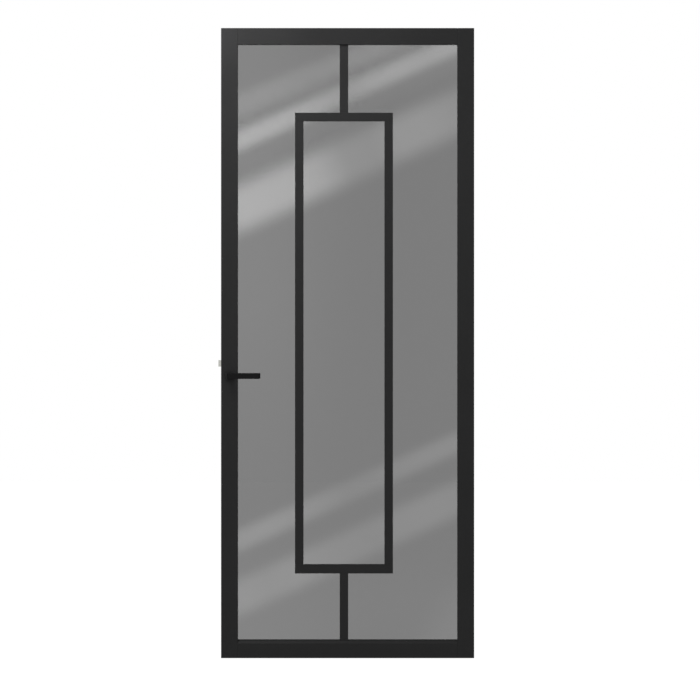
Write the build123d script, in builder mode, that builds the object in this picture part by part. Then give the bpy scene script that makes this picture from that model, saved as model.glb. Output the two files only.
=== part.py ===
# Hinged interior door: slim black frame, one tinted pane with bars on both faces, lever latch, hinges.
# Millimetres. +X points to the hinge side, -Y to the viewer, +Z up.
# The origin is the middle of the lower hinge's jamb plate, on the face that lies against the jamb.

import os
from math import cos, radians, sin

from build123d import *

# Leaf
leaf_width = 930.0
leaf_height = 2315.0
leaf_thickness = 40.0
stile_width = 61.4
top_rail_height = 60.0
bottom_rail_height = 64.0
sill_bevel_height = 9.5
sill_bevel_depth = 8.0
outer_edge_radius = 1.5
sight_edge_radius = 1.0
end_edge_radius = 1.5

# Pane and its rebate
lip_thickness = 15.0
rebate_width = 10.0
glass_thickness = 8.0
glass_edge_gap = 2.5
glass_arris = 0.6
tape_thickness = 1.0
sill_tape_reveal = 4.0
block_length = 60.0
block_width = 6.0
block_place_share = 0.3

# Corner dowels and bead pins
dowel_radius = 5.0
dowel_length = 70.0
dowel_end_gap = 1.0
dowel_place_shares = (0.28, 0.72)
pin_radius = 0.8
pin_length = 24.0
long_bead_pin_shares = (-0.42, -0.21, 0.0, 0.21, 0.42)
short_bead_pin_shares = (-0.3, 0.3)

# Bars on the pane
bar_width = 31.0
rect_bottom_width = 33.8
bar_thickness = 6.0
bar_edge_radius = 0.8
bar_tape_inset = 4.0
rectangle_width = 360.0
rectangle_height = 1694.0
pattern_shift = -13.4

# Latch lock
spindle_height = 1036.5
backset = 30.0
case_depth = 40.0
case_height = 110.0
case_thickness = 15.0
case_wall = 1.5
case_rise = 18.0
forend_width = 20.0
forend_height = 170.0
forend_thickness = 3.0
forend_screw_inset = 11.0
bolt_rise = 46.5
bolt_height = 24.0
bolt_throw = 10.5
bolt_head_inside = 10.0
bolt_tip_flat = 3.0
bolt_edge_radius = 0.6
bolt_bevel_lead = 0.4
tail_height = 12.0
tail_thickness = 6.0
tab_thickness = 1.6
tab_above_nose = 0.5
guide_radius = 2.0
guide_setback = 6.0
post_radius = 3.0
post_inset = 5.0

# Follower
lever_turn_deg = 40.0
hub_radius = 8.5
journal_radius = 7.0
nose_radius = 2.2
arm_root_radius = 3.0
lower_arm_reach = 13.0
lower_arm_radius = 2.5
arm_thickness = 5.0

# Lock springs
spring_strip = 0.8
spring_width = 6.0
latch_spring_bend = 2.6
latch_spring_top = 20.0
return_spring_bend = 3.2
return_spring_drop = 28.0
spring_seat_gap = 0.3
spring_contact_deg = 45.0

# Handle
spindle_side = 8.0
spindle_length = 92.0
lever_reach = 112.0
lever_height = 20.5
lever_grip_thickness = 10.0
lever_projection = 55.0
lever_heel = 10.0
lever_heel_radius = 7.0
lever_tip_radius = 3.0
lever_edge_radius = 1.0
neck_radius = 9.0
neck_lift = 0.3
socket_depth = 27.0
grub_radius = 2.5
grub_length = 4.0
grub_offset = 5.0
rose_radius = 17.0
rose_thickness = 7.0
rose_wall = 1.2
rose_edge_radius = 1.0
rose_base_thickness = 4.5
rose_screw_offset = 12.0
spindle_bore_radius = 7.0

# Hinges
hinge_height = 89.0
hinge_plate_width = 23.0
hinge_plate_thickness = 2.4
hinge_gap = 0.5
leaf_edge_gap = 0.6
hinge_corner_radius = 6.0
hinge_low_height = 230.0
hinge_top_drop = 200.0
hinge_pin_radius = 3.0
hinge_back_gap = 0.5
bearing_thickness = 3.0
axial_gap = 0.2
pin_head_radius = 5.0
pin_head_height = 3.0
pin_head_round = 1.6
hinge_hole_spacing_y = 11.0
jamb_hole_spacing_z = 64.0
leaf_hole_spacing_z = 50.0

# Screws: shank radius, head radius and length
hinge_shank_radius = 2.25
hinge_head_radius = 4.0
hinge_screw_length = 30.0
forend_shank_radius = 2.0
forend_head_radius = 3.8
forend_screw_length = 30.0
rose_shank_radius = 1.5
rose_head_radius = 2.8
rose_screw_length = 13.0
cover_shank_radius = 1.25
cover_head_radius = 2.3
cover_screw_length = 8.0
countersink_angle = 90.0
recess_width = 0.9
recess_depth = 1.0
recess_share = 1.2

# Fits
pocket_gap = 0.2
hole_gap = 0.1
running_gap = 0.06
neck_gap = 0.1
slide_gap = 0.2
swing_gap = 0.3
touch_gap = 0.05

# Turns
quarter_turn = 90.0

# Leaf planes and lines
x_right = -leaf_edge_gap
x_left = x_right - leaf_width
x_mid = (x_left + x_right) / 2
y_back = hinge_plate_width / 2
y_front = y_back - leaf_thickness
y_mid = (y_front + y_back) / 2
z_bottom = -hinge_low_height
z_top = z_bottom + leaf_height
z_mid = (z_bottom + z_top) / 2
sight_left = x_left + stile_width
sight_right = x_right - stile_width
sight_bottom = z_bottom + bottom_rail_height
sight_top = z_top - top_rail_height
rebate_left = sight_left - rebate_width
rebate_right = sight_right + rebate_width
rebate_bottom = sight_bottom - rebate_width
rebate_top = sight_top + rebate_width
lip_back = y_front + lip_thickness
glass_front = lip_back + tape_thickness
glass_back = glass_front + glass_thickness
bead_front = glass_back + tape_thickness
bead_thickness = y_back - bead_front
glass_left = rebate_left + glass_edge_gap
glass_right = rebate_right - glass_edge_gap
glass_bottom = rebate_bottom + glass_edge_gap
glass_top = rebate_top - glass_edge_gap
pane_x = (glass_left + glass_right) / 2
pane_z = (glass_bottom + glass_top) / 2

# Lock and handle places
spindle_x = x_left + backset
spindle_z = z_bottom + spindle_height
case_front = x_left + forend_thickness
case_back = case_front + case_depth
case_x = (case_front + case_back) / 2
case_z = spindle_z + case_rise
case_low = case_z - case_height / 2
case_high = case_z + case_height / 2
inner_thickness = case_thickness - 2 * case_wall
cover_seat = y_mid + case_thickness / 2 - case_wall
bolt_z = spindle_z + bolt_rise
bolt_low = bolt_z - bolt_height / 2
bolt_thickness = inner_thickness - 2 * slide_gap
half_turn = radians(lever_turn_deg / 2)
nose_reach = bolt_throw / 2 / sin(half_turn)
nose_x = spindle_x - nose_reach * sin(half_turn)
nose_z = spindle_z + nose_reach * cos(half_turn)
tab_front = nose_x + nose_radius + swing_gap
tab_back = tab_front + tab_thickness
heel_x = spindle_x + lower_arm_reach * sin(half_turn)
heel_z = spindle_z - lower_arm_reach * cos(half_turn)
guide_x = spindle_x - guide_setback
guide_z = bolt_low + tail_height / 2
grub_y = y_front - rose_thickness - grub_offset
rose_base_radius = rose_radius - rose_wall - hole_gap

# Hinge places
knuckle_radius = hinge_pin_radius + running_gap + hinge_plate_thickness
leaf_plate_face = -(hinge_plate_thickness + hinge_gap)
leaf_plate_seat = leaf_plate_face - hinge_plate_thickness
axis_x = -knuckle_radius
axis_y = y_back + knuckle_radius + hinge_back_gap
hinge_levels = {
    "lower": 0.0,
    "middle": (leaf_height - hinge_top_drop - hinge_low_height) / 2,
    "upper": leaf_height - hinge_top_drop - hinge_low_height,
}
bearing_joint = bearing_thickness + 2 * axial_gap
knuckle_joints = (bearing_joint, axial_gap, axial_gap, bearing_joint)
knuckle_length = (hinge_height - sum(knuckle_joints)) / (len(knuckle_joints) + 1)
knuckle_starts = [-hinge_height / 2]
for joint in knuckle_joints:
    knuckle_starts.append(knuckle_starts[-1] + knuckle_length + joint)
jamb_knuckles = knuckle_starts[0::2]
leaf_knuckles = knuckle_starts[1::2]


def facing(y, x=0, z=0):
    """A plane at depth y that faces the viewer, with local axes along X and Z."""
    return Plane(origin=(x, y, z), x_dir=(1, 0, 0), z_dir=(0, -1, 0))


def write(builder, node):
    """Label a finished piece and write it as one file."""
    builder.part.label = node
    export_step(builder.part, f"parts/{node}.step")


def countersunk_screw(shank_radius, head_radius, length, crossed):
    """A countersunk screw with its head's flat face at the origin and its shank along -Z."""
    with BuildPart() as screw:
        with BuildSketch(Plane.XZ):
            with BuildLine():
                Polyline(
                    (0, 0),
                    (head_radius, 0),
                    (shank_radius, shank_radius - head_radius),
                    (shank_radius, shank_radius - length),
                    (0, -length),
                    close=True,
                )
            make_face()
        revolve(axis=Axis.Z)
        if crossed:
            arm = recess_share * head_radius
            with BuildSketch():
                Rectangle(arm, recess_width)
                Rectangle(recess_width, arm)
            extrude(amount=-recess_depth, mode=Mode.SUBTRACT)
    return screw.part


os.makedirs("parts", exist_ok=True)

# Places shared by dowels and their holes
dowel_y = (lip_back + y_back) / 2
dowel_heights = [z_bottom + share * (rebate_bottom - z_bottom) for share in dowel_place_shares]
dowel_heights += [z_top - share * (z_top - rebate_top) for share in dowel_place_shares]
left_dowels = [(rebate_left, dowel_y, z) for z in dowel_heights]
right_dowels = [(rebate_right, dowel_y, z) for z in dowel_heights]

# Places shared by bead pins and their holes
bead_y = (bead_front + y_back) / 2
pin_levels = [pane_z + share * (glass_top - glass_bottom) for share in long_bead_pin_shares]
pin_columns = [pane_x + share * (glass_right - glass_left) for share in short_bead_pin_shares]
left_pins = [(sight_left - pin_length / 2, bead_y, z) for z in pin_levels]
right_pins = [(sight_right + pin_length / 2, bead_y, z) for z in pin_levels]
top_pins = [(x, bead_y, sight_top + pin_length / 2) for x in pin_columns]
bottom_pins = [(x, bead_y, sight_bottom - pin_length / 2) for x in pin_columns]
along_x = (0, quarter_turn, 0)
along_z = (0, 0, 0)


def cut_pin_holes(places, turn):
    """Cut the holes of a row of bead pins out of the piece that is being built."""
    with Locations(*places):
        Cylinder(pin_radius + touch_gap, pin_length, rotation=turn, mode=Mode.SUBTRACT)


def cut_dowel_holes(places):
    """Cut the holes of a row of dowels out of the piece that is being built."""
    with Locations(*places):
        Cylinder(
            dowel_radius + touch_gap,
            dowel_length + 2 * dowel_end_gap,
            rotation=along_x,
            mode=Mode.SUBTRACT,
        )


def stile_blank(outer, sight, rebate):
    """A full-height stile with its rebate, rounded outer edges and rounded ends."""
    with BuildPart() as blank:
        with BuildSketch(Plane.XY.offset(z_bottom)) as profile:
            with BuildLine():
                Polyline(
                    (outer, y_front),
                    (sight, y_front),
                    (sight, lip_back),
                    (rebate, lip_back),
                    (rebate, y_back),
                    (outer, y_back),
                    close=True,
                )
            make_face()
            corners = profile.vertices()
            fillet(corners.filter_by_position(Axis.X, outer, outer), outer_edge_radius)
            sight_corner = profile.vertices().sort_by_distance((sight, y_front))[0]
            fillet(sight_corner, sight_edge_radius)
        extrude(amount=leaf_height)
        for end in (blank.faces().sort_by(Axis.Z)[0], blank.faces().sort_by(Axis.Z)[-1]):
            outside = end.edges().sort_by_distance((outer, y_mid, end.center().Z))[0]
            fillet(outside, end_edge_radius)
    return blank.part


def hinge_plate_sketch(face_x, z, gap):
    """A hinge plate's outline on x = face_x, grown by a gap, from its front edge to the pin's axis."""
    front = -hinge_plate_width / 2 - gap
    with BuildSketch(Plane.YZ.offset(face_x)) as outline:
        with Locations(((front + axis_y) / 2, z)):
            Rectangle(axis_y - front, hinge_height + 2 * gap)
        fillet(outline.vertices().group_by(Axis.X)[0], hinge_corner_radius + gap)
    return outline.sketch


def hinge_hole_places(spacing_z):
    """The four hole centres of a hinge plate about its middle, as (y, z)."""
    return [
        (y, z)
        for y in (-hinge_hole_spacing_y / 2, hinge_hole_spacing_y / 2)
        for z in (-spacing_z / 2, spacing_z / 2)
    ]


leaf_screw_planes = [
    Plane(origin=(leaf_plate_face, y, level + z), z_dir=(1, 0, 0))
    for level in hinge_levels.values()
    for y, z in hinge_hole_places(leaf_hole_spacing_z)
]

# Lock stile with its mortise, spindle bore and pilot holes
forend_z = case_z
forend_screw_heights = [
    forend_z + side * (forend_height / 2 - forend_screw_inset) for side in (-1, 1)
]
forend_screw_planes = [
    Plane(origin=(x_left, y_mid, z), z_dir=(-1, 0, 0)) for z in forend_screw_heights
]
rose_screw_planes = [
    Plane(origin=(spindle_x, face, spindle_z + side * rose_screw_offset), z_dir=(0, out, 0))
    for face, out in (
        (y_front - rose_base_thickness, -1),
        (y_back + rose_base_thickness, 1),
    )
    for side in (-1, 1)
]

lock_blank = stile_blank(x_left, sight_left, rebate_left)
with BuildPart() as lock_stile:
    add(lock_blank)
    cut_dowel_holes(left_dowels)
    cut_pin_holes(left_pins, along_x)
    with BuildSketch(Plane.YZ.offset(x_left)):
        with Locations((y_mid, forend_z)):
            SlotOverall(
                forend_height + 2 * pocket_gap,
                forend_width + 2 * pocket_gap,
                rotation=quarter_turn,
            )
    extrude(amount=forend_thickness, mode=Mode.SUBTRACT)
    with BuildSketch(Plane.YZ.offset(case_front)):
        with Locations((y_mid, case_z)):
            Rectangle(case_thickness + 2 * pocket_gap, case_height + 2 * pocket_gap)
    extrude(amount=case_depth + pocket_gap, mode=Mode.SUBTRACT)
    with BuildSketch(facing(y_back, spindle_x, spindle_z)):
        Circle(spindle_bore_radius)
    extrude(amount=leaf_thickness, mode=Mode.SUBTRACT)
    with Locations(*forend_screw_planes):
        Hole(forend_shank_radius + touch_gap, depth=forend_screw_length + hole_gap)
    with Locations(*rose_screw_planes):
        Hole(rose_shank_radius + touch_gap, depth=rose_screw_length + hole_gap)
write(lock_stile, "lock_stile")

# Hinge stile with a pocket for both plates of each hinge, and pilot holes for the leaf plate's screws
hinge_blank = stile_blank(x_right, sight_right, rebate_right)
with BuildPart() as hinge_stile:
    add(hinge_blank)
    cut_dowel_holes(right_dowels)
    cut_pin_holes(right_pins, along_x)
    for level in hinge_levels.values():
        pocket = hinge_plate_sketch(leaf_plate_seat, level, pocket_gap)
        extrude(pocket, amount=x_right - leaf_plate_seat, mode=Mode.SUBTRACT)
    with Locations(*leaf_screw_planes):
        Hole(hinge_shank_radius + touch_gap, depth=hinge_screw_length + hole_gap)
write(hinge_stile, "hinge_stile")


def rail(node, outer, sight, rebate, pins, front_corners):
    """A rail: a lip with its rounded front corners, as (y, z), and a tongue in the stiles' rebates."""
    with BuildPart() as piece:
        with BuildSketch(Plane.YZ.offset(sight_left)) as lip:
            with BuildLine():
                Polyline(
                    (y_front, outer),
                    *front_corners,
                    (lip_back, sight),
                    (lip_back, outer),
                    close=True,
                )
            make_face()
            fillet(lip.vertices().sort_by_distance((y_front, outer))[0], end_edge_radius)
            for corner in front_corners:
                fillet(lip.vertices().sort_by_distance(corner)[0], sight_edge_radius)
        extrude(amount=sight_right - sight_left)
        with BuildSketch(Plane.YZ.offset(rebate_left)) as tongue:
            with BuildLine():
                Polyline(
                    (lip_back, outer),
                    (lip_back, rebate),
                    (y_back, rebate),
                    (y_back, outer),
                    close=True,
                )
            make_face()
            fillet(tongue.vertices().sort_by_distance((y_back, outer))[0], end_edge_radius)
        extrude(amount=rebate_right - rebate_left)
        cut_dowel_holes(left_dowels + right_dowels)
        cut_pin_holes(pins, along_z)
    write(piece, node)


square_corner = [(y_front, sight_top)]
sill_bevel = [
    (y_front, sight_bottom - sill_bevel_height),
    (y_front + sill_bevel_depth, sight_bottom),
]
rail("top_rail", z_top, sight_top, rebate_top, top_pins, square_corner)
rail("bottom_rail", z_bottom, sight_bottom, rebate_bottom, bottom_pins, sill_bevel)

with BuildPart() as corner_dowels:
    with Locations(*left_dowels, *right_dowels):
        Cylinder(dowel_radius, dowel_length, rotation=along_x)
write(corner_dowels, "corner_dowels")

# Glazing beads, mitred, flush with the back of the leaf
rebate_corners = {
    "low left": (rebate_left, rebate_bottom),
    "high left": (rebate_left, rebate_top),
    "low right": (rebate_right, rebate_bottom),
    "high right": (rebate_right, rebate_top),
}
sight_corners = {
    "low left": (sight_left, sight_bottom),
    "high left": (sight_left, sight_top),
    "low right": (sight_right, sight_bottom),
    "high right": (sight_right, sight_top),
}
bead_ends = {
    "left": ("low left", "high left"),
    "right": ("low right", "high right"),
    "top": ("high left", "high right"),
    "bottom": ("low left", "low right"),
}
bead_pins = {
    "left": (left_pins, along_x),
    "right": (right_pins, along_x),
    "top": (top_pins, along_z),
    "bottom": (bottom_pins, along_z),
}
for side, (first, last) in bead_ends.items():
    outline = (rebate_corners[first], sight_corners[first], sight_corners[last], rebate_corners[last])
    with BuildPart() as bead:
        with BuildSketch(facing(y_back)):
            with BuildLine():
                Polyline(*outline, close=True)
            make_face()
        extrude(amount=bead_thickness)
        back_edges = bead.edges().group_by(Axis.Y)[-1]
        fillet(back_edges.sort_by_distance((pane_x, y_back, pane_z))[0], sight_edge_radius)
        cut_pin_holes(*bead_pins[side])
    write(bead, f"bead_{side}")

with BuildPart() as bead_nails:
    with Locations(*left_pins, *right_pins):
        Cylinder(pin_radius, pin_length, rotation=along_x)
    with Locations(*top_pins, *bottom_pins):
        Cylinder(pin_radius, pin_length)
write(bead_nails, "bead_pins")

# Pane, its tape and its setting blocks
with BuildPart() as glass_pane:
    with BuildSketch(facing(glass_back)):
        with Locations((pane_x, pane_z)):
            Rectangle(glass_right - glass_left, glass_top - glass_bottom)
    extrude(amount=glass_thickness)
    chamfer(glass_pane.edges().filter_by(Axis.Y, reverse=True), glass_arris)
write(glass_pane, "glass_pane")

tapes = {
    "front_glazing_tape": (glass_front, sight_bottom + sill_tape_reveal),
    "rear_glazing_tape": (bead_front, sight_bottom),
}
for node, (back, low) in tapes.items():
    with BuildPart() as tape:
        with BuildSketch(facing(back)):
            with Locations((pane_x, pane_z)):
                Rectangle(glass_right - glass_left, glass_top - glass_bottom)
            with Locations((pane_x, (low + sight_top) / 2)):
                Rectangle(sight_right - sight_left, sight_top - low, mode=Mode.SUBTRACT)
        extrude(amount=tape_thickness)
    write(tape, node)

block_columns = [pane_x + side * block_place_share * (glass_right - glass_left) for side in (-1, 1)]
block_levels = [pane_z + side * block_place_share * (glass_top - glass_bottom) for side in (-1, 1)]
glass_y = (glass_front + glass_back) / 2
with BuildPart() as setting_blocks:
    for z in (rebate_bottom + glass_edge_gap / 2, rebate_top - glass_edge_gap / 2):
        with Locations(*[(x, glass_y, z) for x in block_columns]):
            Box(block_length, block_width, glass_edge_gap)
    for x in (rebate_left + glass_edge_gap / 2, rebate_right - glass_edge_gap / 2):
        with Locations(*[(x, glass_y, z) for z in block_levels]):
            Box(glass_edge_gap, block_width, block_length)
write(setting_blocks, "setting_blocks")

# Bars: a tall rectangle, and an upright from its top and bottom to the rails, on both faces of the pane
pattern_x = x_mid + pattern_shift
rect_low = z_mid - rectangle_height / 2
rect_high = z_mid + rectangle_height / 2
rect_side_x = (rectangle_width - bar_width) / 2
side_low = rect_low + rect_bottom_width
side_height = rect_high - bar_width - side_low
side_z = side_low + side_height / 2
bars = {
    "rect_top": (pattern_x, rect_high - bar_width / 2, rectangle_width, bar_width),
    "rect_bottom": (pattern_x, rect_low + rect_bottom_width / 2, rectangle_width, rect_bottom_width),
    "rect_left": (pattern_x - rect_side_x, side_z, bar_width, side_height),
    "rect_right": (pattern_x + rect_side_x, side_z, bar_width, side_height),
    "upright_above": (pattern_x, (rect_high + sight_top) / 2, bar_width, sight_top - rect_high),
    "upright_below": (pattern_x, (rect_low + sight_bottom) / 2, bar_width, rect_low - sight_bottom),
}
bar_faces = {
    "front": (glass_front - tape_thickness, glass_front, 0),
    "rear": (bead_front + bar_thickness, bead_front, -1),
}
for face, (bar_back, tape_back, shown) in bar_faces.items():
    for name, (x, z, width, height) in bars.items():
        with BuildPart() as bar:
            with BuildSketch(facing(bar_back, x, z)):
                Rectangle(width, height)
            extrude(amount=bar_thickness)
            length_axis = Axis.X if width > height else Axis.Z
            shown_face = bar.faces().sort_by(Axis.Y)[shown]
            fillet(shown_face.edges().filter_by(length_axis), bar_edge_radius)
        write(bar, f"{face}_bar_{name}")
    with BuildPart() as bar_tape:
        for x, z, width, height in bars.values():
            with BuildSketch(facing(tape_back, x, z)):
                Rectangle(width - 2 * bar_tape_inset, height - 2 * bar_tape_inset)
        extrude(amount=tape_thickness)
    write(bar_tape, f"{face}_bar_tape")

# Lock case: a pan with its floor towards the viewer, screw posts, a guide stud and the follower's bearing
cover_face = y_mid + case_thickness / 2
stop_x = nose_x - nose_radius - swing_gap - post_radius
post_places = [
    (case_front + case_wall + post_inset, case_high - case_wall - post_inset),
    (case_back - case_wall - post_inset, case_low + case_wall + post_inset),
    (stop_x, nose_z),
]
cover_screw_planes = [facing(cover_face, x, z).reverse() for x, z in post_places]
with BuildPart() as lock_case:
    with BuildSketch(facing(cover_seat)):
        with Locations((case_x, case_z)):
            Rectangle(case_depth, case_height)
    extrude(amount=case_thickness - case_wall)
    with BuildSketch(facing(cover_seat)):
        with Locations((case_x, case_z)):
            Rectangle(case_depth - 2 * case_wall, case_height - 2 * case_wall)
        with Locations(*post_places):
            Circle(post_radius, mode=Mode.SUBTRACT)
        with Locations((guide_x, guide_z)):
            Circle(guide_radius, mode=Mode.SUBTRACT)
    extrude(amount=inner_thickness, mode=Mode.SUBTRACT)
    with BuildSketch(facing(cover_seat, spindle_x, spindle_z)):
        Circle(journal_radius + running_gap)
    extrude(amount=case_thickness, mode=Mode.SUBTRACT)
    with BuildSketch(Plane.YZ.offset(case_front)):
        with Locations((y_mid, bolt_z)):
            Rectangle(bolt_thickness + slide_gap, bolt_height + 2 * slide_gap)
    extrude(amount=case_wall, mode=Mode.SUBTRACT)
    with Locations(*cover_screw_planes):
        Hole(cover_shank_radius + touch_gap, depth=cover_screw_length + hole_gap)
write(lock_case, "lock_case")

with BuildPart() as lock_cover:
    with BuildSketch(facing(cover_face)):
        with Locations((case_x, case_z)):
            Rectangle(case_depth, case_height)
        with Locations((spindle_x, spindle_z)):
            Circle(journal_radius + running_gap, mode=Mode.SUBTRACT)
    extrude(amount=case_wall)
    with Locations(*cover_screw_planes):
        CounterSinkHole(
            cover_shank_radius + touch_gap,
            cover_head_radius + touch_gap,
            counter_sink_angle=countersink_angle,
        )
write(lock_cover, "lock_cover")

cover_screw = countersunk_screw(cover_shank_radius, cover_head_radius, cover_screw_length, False)
with BuildPart() as cover_screws:
    with Locations(*cover_screw_planes):
        add(cover_screw)
write(cover_screws, "cover_screws")

# Forend, flush in the edge of the lock stile
with BuildPart() as forend:
    with BuildSketch(Plane.YZ.offset(x_left)):
        with Locations((y_mid, forend_z)):
            SlotOverall(forend_height, forend_width, rotation=quarter_turn)
        with Locations((y_mid, bolt_z)):
            Rectangle(
                bolt_thickness + slide_gap,
                bolt_height + 2 * slide_gap,
                mode=Mode.SUBTRACT,
            )
    extrude(amount=forend_thickness)
    with Locations(*forend_screw_planes):
        CounterSinkHole(
            forend_shank_radius + touch_gap,
            forend_head_radius + touch_gap,
            counter_sink_angle=countersink_angle,
        )
write(forend, "forend")

forend_screw = countersunk_screw(forend_shank_radius, forend_head_radius, forend_screw_length, True)
with BuildPart() as forend_screws:
    with Locations(*forend_screw_planes):
        add(forend_screw)
write(forend_screws, "forend_screws")

# Latch bolt: bevelled head, and a tail with a guide slot and a tab that the follower's nose draws back
bolt_tip = x_left - bolt_throw
head_back = x_left + bolt_head_inside
bolt_front_y = y_mid - bolt_thickness / 2
bolt_rear_y = y_mid + bolt_thickness / 2
tail_y = y_mid + tail_thickness / 2
tab_low = nose_z + tab_above_nose
tail_top = bolt_low + tail_height
with BuildPart() as latch_bolt:
    with BuildSketch(Plane.XY.offset(bolt_low)):
        with BuildLine():
            Polyline(
                (head_back, bolt_front_y),
                (x_left - bolt_bevel_lead, bolt_front_y),
                (bolt_tip, bolt_rear_y - bolt_tip_flat),
                (bolt_tip, bolt_rear_y),
                (head_back, bolt_rear_y),
                close=True,
            )
        make_face()
    extrude(amount=bolt_height)
    nose_edges = latch_bolt.edges().filter_by(Axis.Z).group_by(Axis.X)[0]
    fillet(nose_edges, bolt_edge_radius)
    with BuildSketch(facing(tail_y)):
        with Locations(((head_back + tab_back) / 2, guide_z)):
            Rectangle(tab_back - head_back, tail_height)
        with Locations(((tab_front + tab_back) / 2, (tab_low + tail_top) / 2)):
            Rectangle(tab_thickness, tail_top - tab_low)
        with Locations((guide_x - bolt_throw / 2, guide_z)):
            SlotOverall(
                bolt_throw + 2 * (guide_radius + slide_gap),
                2 * (guide_radius + slide_gap),
                mode=Mode.SUBTRACT,
            )
    extrude(amount=tail_thickness)
write(latch_bolt, "latch_bolt")

# Follower: hub on two journals, upper arm that draws the bolt, lower arm that the return spring presses
with BuildPart() as follower:
    with BuildSketch(facing(y_mid + arm_thickness / 2)):
        with Locations((spindle_x, spindle_z)):
            Circle(arm_root_radius)
        with Locations((nose_x, nose_z)):
            Circle(nose_radius)
        make_hull()
    with BuildSketch(facing(y_mid + arm_thickness / 2)):
        with Locations((spindle_x, spindle_z)):
            Circle(hub_radius)
        with Locations((heel_x, heel_z)):
            Circle(lower_arm_radius)
        make_hull()
    extrude(amount=arm_thickness)
    with BuildSketch(facing(y_mid + inner_thickness / 2 - slide_gap, spindle_x, spindle_z)):
        Circle(hub_radius)
    extrude(amount=inner_thickness - 2 * slide_gap)
    with BuildSketch(facing(y_mid + case_thickness / 2, spindle_x, spindle_z)):
        Circle(journal_radius)
    extrude(amount=case_thickness)
    with BuildSketch(facing(y_mid + case_thickness / 2, spindle_x, spindle_z)):
        Rectangle(spindle_side + 2 * touch_gap, spindle_side + 2 * touch_gap)
    extrude(amount=case_thickness, mode=Mode.SUBTRACT)
write(follower, "follower")


def hairpin_spring(node, seat_x, seat_z, bend_z, bend_radius, tip):
    """A hairpin of spring strip: a seated leg along Z, a half-round bend, and a leg up to a free tip."""
    side = 1 if tip[0] > seat_x else -1
    bend_x = seat_x + side * 2 * bend_radius
    outward = -1 if bend_z < seat_z else 1
    with BuildPart() as spring:
        with BuildSketch(facing(y_mid + spring_width / 2)):
            with BuildLine() as strip:
                Line((seat_x, seat_z), (seat_x, bend_z))
                ThreePointArc(
                    (seat_x, bend_z),
                    (seat_x + side * bend_radius, bend_z + outward * bend_radius),
                    (bend_x, bend_z),
                )
                Line((bend_x, bend_z), tip)
            trace(strip.line, line_width=spring_strip)
        extrude(amount=spring_width)
    write(spring, node)


# The latch spring presses on the end of the bolt's tail, and the return spring on the follower's lower arm
half_strip = spring_strip / 2
latch_seat_x = case_back - case_wall - half_strip
latch_spring_tip = (tab_back + spring_seat_gap + half_strip, guide_z)
hairpin_spring(
    "latch_spring",
    latch_seat_x,
    guide_z,
    guide_z + latch_spring_top,
    latch_spring_bend,
    latch_spring_tip,
)
return_seat_x = case_front + case_wall + half_strip
contact_reach = lower_arm_radius + spring_seat_gap + half_strip
contact_angle = radians(spring_contact_deg)
return_spring_tip = (
    heel_x - contact_reach * cos(contact_angle),
    heel_z - contact_reach * sin(contact_angle),
)
hairpin_spring(
    "return_spring",
    return_seat_x,
    heel_z,
    spindle_z - return_spring_drop,
    return_spring_bend,
    return_spring_tip,
)

# Spindle and levers
with BuildPart() as spindle:
    with Locations((spindle_x, y_mid, spindle_z)):
        Box(spindle_side, spindle_length, spindle_side)
write(spindle, "spindle")

leaf_middle = Plane.XZ.offset(-y_mid)
grip_front = y_front - lever_projection
grip_back = grip_front + lever_grip_thickness
neck_end = y_front - neck_lift
lever_low = spindle_z - lever_height / 2
heel_left = spindle_x - lever_heel
lever_tip = spindle_x + lever_reach
with BuildPart() as front_lever:
    with BuildSketch(Plane.XY.offset(lever_low)) as grip:
        with BuildLine():
            Polyline(
                (heel_left, grip_back),
                (heel_left, grip_front),
                (lever_tip, grip_front),
                (lever_tip, grip_back),
                close=True,
            )
        make_face()
        fillet(grip.vertices().sort_by_distance((heel_left, grip_front))[0], lever_heel_radius)
        fillet(grip.vertices().sort_by_distance((lever_tip, grip_front))[0], lever_tip_radius)
    extrude(amount=lever_height)
    grip_ends = front_lever.faces().filter_by(Axis.Z)
    fillet(grip_ends.edges(), lever_edge_radius)
    with BuildSketch(facing(neck_end, spindle_x, spindle_z)):
        Circle(neck_radius)
    extrude(amount=neck_end - grip_back)
    with BuildSketch(facing(neck_end, spindle_x, spindle_z)):
        Rectangle(spindle_side + 2 * touch_gap, spindle_side + 2 * touch_gap)
    extrude(amount=socket_depth, mode=Mode.SUBTRACT)
    with BuildSketch(Plane.XY.offset(spindle_z)):
        with Locations((spindle_x, grub_y)):
            Circle(grub_radius + touch_gap)
    extrude(amount=-neck_radius, mode=Mode.SUBTRACT)
write(front_lever, "front_lever")

with BuildPart() as rear_lever:
    mirror(front_lever.part, about=leaf_middle)
write(rear_lever, "rear_lever")

grub_top = spindle_z - spindle_side / 2 - touch_gap
with BuildPart() as grub_screws:
    with BuildSketch(Plane.XY.offset(grub_top)):
        with Locations((spindle_x, grub_y)):
            Circle(grub_radius)
    extrude(amount=-grub_length)
    mirror(about=leaf_middle)
write(grub_screws, "grub_screws")

# Roses: a screwed base under a cap on each face
with BuildPart() as front_rose_base:
    with BuildSketch(facing(y_front, spindle_x, spindle_z)):
        Circle(rose_base_radius)
        Circle(neck_radius + neck_gap, mode=Mode.SUBTRACT)
    extrude(amount=rose_base_thickness)
    with Locations(*rose_screw_planes[:2]):
        CounterSinkHole(
            rose_shank_radius + touch_gap,
            rose_head_radius + touch_gap,
            depth=rose_base_thickness,
            counter_sink_angle=countersink_angle,
        )
write(front_rose_base, "front_rose_base")

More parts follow.
